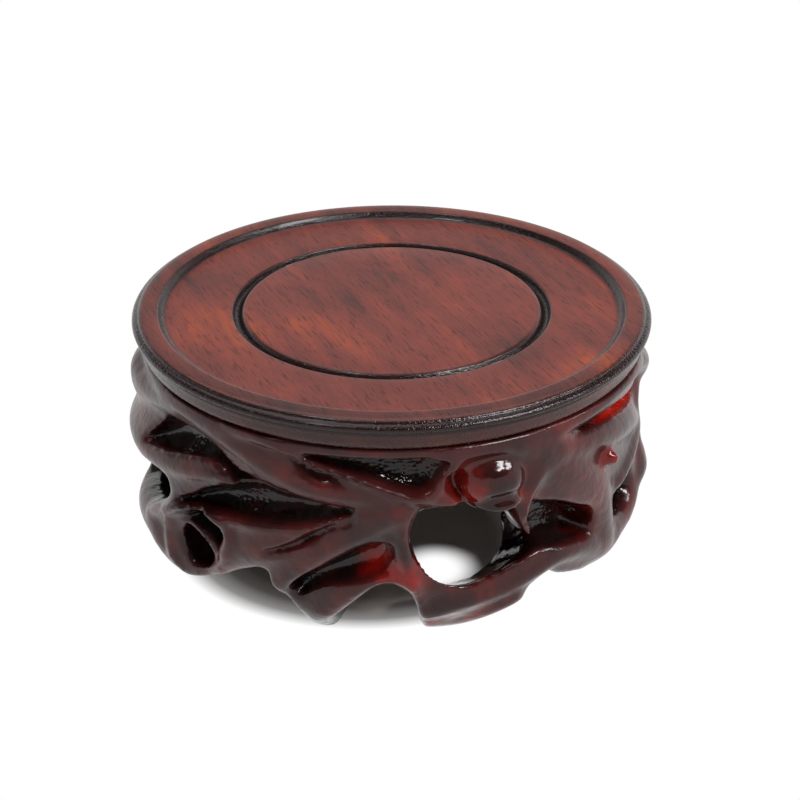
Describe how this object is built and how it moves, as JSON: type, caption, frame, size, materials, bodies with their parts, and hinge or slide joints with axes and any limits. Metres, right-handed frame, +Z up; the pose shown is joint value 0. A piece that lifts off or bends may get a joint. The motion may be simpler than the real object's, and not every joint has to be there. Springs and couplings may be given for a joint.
{
  "type": "round display stand",
  "caption": "Round red-lacquered hardwood display stand: a turned board with a sunk seat and a ring groove, on an openwork base carved as tangled roots.",
  "frame": {"origin": "on the ground under the stand's axis, which is the centre of the box's bottom", "axes": "+Z up along the axis of the turned board, -Y towards the front of the carving as pictured, +X to the right"},
  "size_m": [0.0915, 0.0888, 0.048],
  "materials": {
    "board_lacquer": "satin",
    "root_lacquer": "gloss",
    "peg_wood": "matte"
  },
  "bodies": {
    "root": {"top_board": "board_lacquer", "root_base": "root_lacquer", "peg_1": "peg_wood", "peg_2": "peg_wood", "peg_3": "peg_wood", "peg_4": "peg_wood"}
  },
  "joints": []
}
